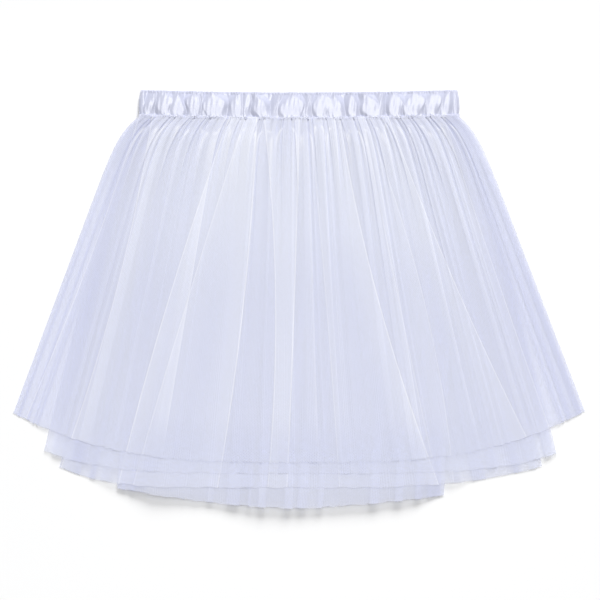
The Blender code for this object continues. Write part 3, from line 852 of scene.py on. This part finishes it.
def tulle_material(name, cover, folded):
    """Sheer net: its alpha is the share that the threads cover, more along creases."""
    nodes = Nodes(name)
    uv = nodes.add("ShaderNodeUVMap", {}, uv_map="cloth").outputs["UV"]
    crease, tone = nodes.mark("crease"), nodes.mark("tone")
    speckle = nodes.noise(uv, (800.0, 300.0, 1.0), 2.0)
    patches = nodes.noise(uv, (45.0, 20.0, 1.0), 3.0)
    alpha = nodes.maths("MULTIPLY_ADD", net_pattern(nodes, uv), NET_COVER, cover - NET_COVER_MEAN)
    for uneven, share in ((speckle, SPECKLE_COVER), (patches, PATCH_COVER)):
        centred = nodes.maths("SUBTRACT", uneven, 0.5)
        alpha = nodes.maths("MULTIPLY_ADD", centred, share, alpha)
    if folded:
        front = nodes.mark("front")
        laps, edges = long_folds(nodes)
        lap_cover = nodes.maths("MULTIPLY", front, LAP_COVER)
        # painted light over each long fold's lap
        lap_painted_light = nodes.maths("MULTIPLY", front, LAP_PAINTED_LIGHT)
        alpha = nodes.maths("MULTIPLY_ADD", laps, lap_cover, alpha)
        # the long folds' bright edges: denser net with a painted highlight
        crease = nodes.maths("MAXIMUM", crease, nodes.maths("MULTIPLY", edges, front))
        tone = nodes.maths("MULTIPLY_ADD", laps, lap_painted_light, tone)
    alpha = nodes.maths("MULTIPLY_ADD", crease, CREASE_COVER, alpha)
    kept = nodes.maths("SUBTRACT", 1.0, nodes.mark("thin"))
    nodes.feed("Alpha", nodes.maths("MULTIPLY", alpha, kept, clamp=True))
    # the tone mark blends the net's colour from dark to light, and holds painted light and shade
    plain = nodes.blend(tone, TULLE_DARK, TULLE_LIGHT)
    # creases are lighter: partly the denser net, partly a painted highlight
    nodes.feed("Base Color", nodes.blend(crease, plain, TULLE_CREASED))
    nodes.feed("Roughness", 0.7)
    nodes.feed("Specular IOR Level", 0.15)
    bump = nodes.add("ShaderNodeBump", {"Height": patches, "Strength": 0.10, "Distance": 0.0005})
    nodes.feed("Normal", bump.outputs["Normal"])
    return nodes.material


def satin_material(name):
    """Glossy satin, with fine streaks down the waistband."""
    nodes = Nodes(name)
    uv = nodes.add("ShaderNodeUVMap", {}, uv_map="cloth").outputs["UV"]
    threads = nodes.noise(uv, (1200.0, 220.0, 1.0), 3.0)
    nodes.feed("Base Color", nodes.blend(threads, (0.560, 0.580, 0.720), (0.620, 0.640, 0.790)))
    gloss = {"Value": threads, "To Min": 0.24, "To Max": 0.34}
    nodes.feed("Roughness", nodes.add("ShaderNodeMapRange", gloss).outputs["Result"])
    nodes.feed("IOR", 1.9)
    nodes.feed("Anisotropic", 0.4)
    bump = nodes.add("ShaderNodeBump", {"Height": threads, "Strength": 0.08, "Distance": 0.0002})
    nodes.feed("Normal", bump.outputs["Normal"])
    return nodes.material


def thread_material(name):
    """The stitches' twisted thread."""
    nodes = Nodes(name)
    place = nodes.add("ShaderNodeTexCoord", {}).outputs["Object"]
    twist = nodes.noise(place, (2500.0, 900.0, 900.0), 2.0)
    nodes.feed("Base Color", nodes.blend(twist, (0.80, 0.82, 0.93), (0.93, 0.94, 1.0)))
    nodes.feed("Roughness", 0.5)
    return nodes.material


# ---------------------------------------------------------------- the garment
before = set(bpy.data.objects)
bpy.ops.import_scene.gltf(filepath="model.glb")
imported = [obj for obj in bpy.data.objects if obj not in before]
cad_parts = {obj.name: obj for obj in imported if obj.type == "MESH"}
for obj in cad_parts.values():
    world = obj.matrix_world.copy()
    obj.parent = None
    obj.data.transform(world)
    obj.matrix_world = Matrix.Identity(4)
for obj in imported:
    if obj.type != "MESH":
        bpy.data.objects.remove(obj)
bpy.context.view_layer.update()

for number, layer in enumerate(LAYERS):
    runs = (front_run(number), side_run(number, 1), back_run(number), side_run(number, -1))
    x, y, z, *marks = [np.concatenate(part, axis=1) for part in zip(*runs)]
    mesh, flat = sheet_mesh(layer.name + "_sheet", x, y, z, dict(zip(MARKS, marks)), scatters=True)
    net = tulle_material("tulle_%d" % (number + 1), THREAD_COVER[number], number in FOLDED)
    sheet = add_piece(mesh.name, mesh, net)
    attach(sheet, "root")
    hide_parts(layer.name)

x, y, z = band_sheet()
mesh, flat = sheet_mesh("waistband_satin", x, y, z, {}, scatters=False)
satin = add_piece("waistband_satin", mesh, satin_material("satin"))
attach(satin, "root")
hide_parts("waistband")

mesh = stitch_mesh("waistband_stitches")
stitches = add_piece("waistband_stitches", mesh, thread_material("thread"))
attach(stitches, "root")

# ---------------------------------------------------------------- floor, light and camera
FLOOR_HALF = 4.0
FLOOR_Z = -0.0003         # just under the garment, so that the two never share a plane
FLOOR_CORNERS = ((-1, -1), (1, -1), (1, 1), (-1, 1))

floor_mesh = bpy.data.meshes.new("floor")
floor_mesh.from_pydata([(FLOOR_HALF * x, FLOOR_HALF * y, FLOOR_Z) for x, y in FLOOR_CORNERS],
                       [], [(0, 1, 2, 3)])
paint = Nodes("floor")
place = paint.add("ShaderNodeNewGeometry", {}).outputs["Position"]
paint.feed("Base Color", paint.blend(paint.noise(place, (3.0, 3.0, 3.0), 2.0),
                                     (0.915, 0.915, 0.915), (0.925, 0.925, 0.925)))
paint.feed("Roughness", 0.9)
paint.feed("Specular IOR Level", 0.1)
add_piece("floor", floor_mesh, paint.material)


def softbox(name, place, width, length, power):
    """A broad soft light that shines on the garment."""
    lamp = bpy.data.lights.new(name, "AREA")
    lamp.shape = "RECTANGLE"
    lamp.size = width
    lamp.size_y = length
    lamp.energy = power
    light = bpy.data.objects.new(name, lamp)
    light.location = place
    light.rotation_euler = (-Vector(place)).to_track_quat("-Z", "Y").to_euler()
    bpy.context.scene.collection.objects.link(light)


softbox("overhead", (0.12, 0.15, 2.9), 1.2, 2.4, 40.5)
sun = bpy.data.lights.new("key", "SUN")
sun.energy = 3.5
sun.angle = math.radians(26.0)
key = bpy.data.objects.new("key", sun)
key.rotation_euler = Vector((-0.45, -3.00, -1.60)).to_track_quat("-Z", "Y").to_euler()
key.visible_glossy = False    # no glints of it on the satin
bpy.context.scene.collection.objects.link(key)
world = bpy.data.worlds.new("studio")
world.use_nodes = True
sky = world.node_tree.nodes["Background"]
sky.inputs["Color"].default_value = (0.98, 0.985, 1.0, 1.0)
sky.inputs["Strength"].default_value = 0.16
bpy.context.scene.world = world

CAMERA_X = 0.00096        # the photograph's middle lies this far to the right of the garment's
CAMERA_HEIGHT = 2.4
GARMENT_HEIGHT = 0.004    # the picture's width is told at this height
FIELD = 0.5778            # width of the picture there
camera_data = bpy.data.cameras.new("camera")
camera_data.sensor_width = 36.0
camera_data.lens = camera_data.sensor_width * (CAMERA_HEIGHT - GARMENT_HEIGHT) / FIELD
camera = bpy.data.objects.new("camera", camera_data)
camera.location = (CAMERA_X, 0.0, CAMERA_HEIGHT)
bpy.context.scene.collection.objects.link(camera)

scene = bpy.context.scene
scene.camera = camera
scene.view_settings.view_transform = "Standard"
scene.cycles.transparent_max_bounces = 64
scene.cycles.max_bounces = 16
scene.cycles.diffuse_bounces = 12
